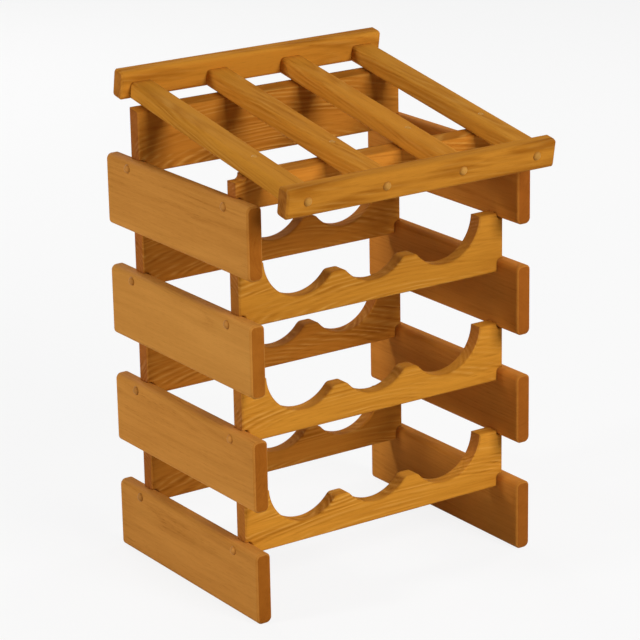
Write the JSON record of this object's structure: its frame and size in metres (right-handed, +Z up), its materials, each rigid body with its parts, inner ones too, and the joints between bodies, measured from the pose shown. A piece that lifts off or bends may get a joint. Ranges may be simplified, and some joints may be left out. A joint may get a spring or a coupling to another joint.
{
  "type": "wine rack",
  "caption": "Stacked wooden wine rack: side slats interlock with scalloped front and rear rails, under a sloped display top of runners and rails, all pegged.",
  "frame": {"origin": "floor level, in the middle of the box that the whole rack fills", "axes": "+Z up, -Y the front where the display top slopes down, +X to the right seen from the front"},
  "size_m": [0.39, 0.3606, 0.5786],
  "materials": {
    "side_oak": "satin stained oak",
    "rail_oak": "satin stained oak",
    "display_oak": "satin stained oak",
    "peg_oak": "satin lighter oak"
  },
  "bodies": {
    "root": {"left_slat_1": "side_oak", "right_slat_1": "side_oak", "left_slat_2": "side_oak", "right_slat_2": "side_oak", "left_slat_3": "side_oak", "right_slat_3": "side_oak", "left_slat_4": "side_oak", "right_slat_4": "side_oak", "front_cradle_rail_1": "rail_oak", "rear_cradle_rail_1": "rail_oak", "front_cradle_rail_2": "rail_oak", "rear_cradle_rail_2": "rail_oak", "front_cradle_rail_3": "rail_oak", "rear_cradle_rail_3": "rail_oak", "front_top_support": "rail_oak", "rear_top_support": "rail_oak", "display_front_rail": "display_oak", "display_rear_rail": "display_oak", "display_runner_left": "display_oak", "display_runner_mid_left": "display_oak", "display_runner_mid_right": "display_oak", "display_runner_right": "display_oak", "left_slat_pegs": "peg_oak", "right_slat_pegs": "peg_oak", "display_front_pegs": "peg_oak", "display_rear_pegs": "peg_oak", "display_seat_pegs": "peg_oak"}
  },
  "joints": []
}
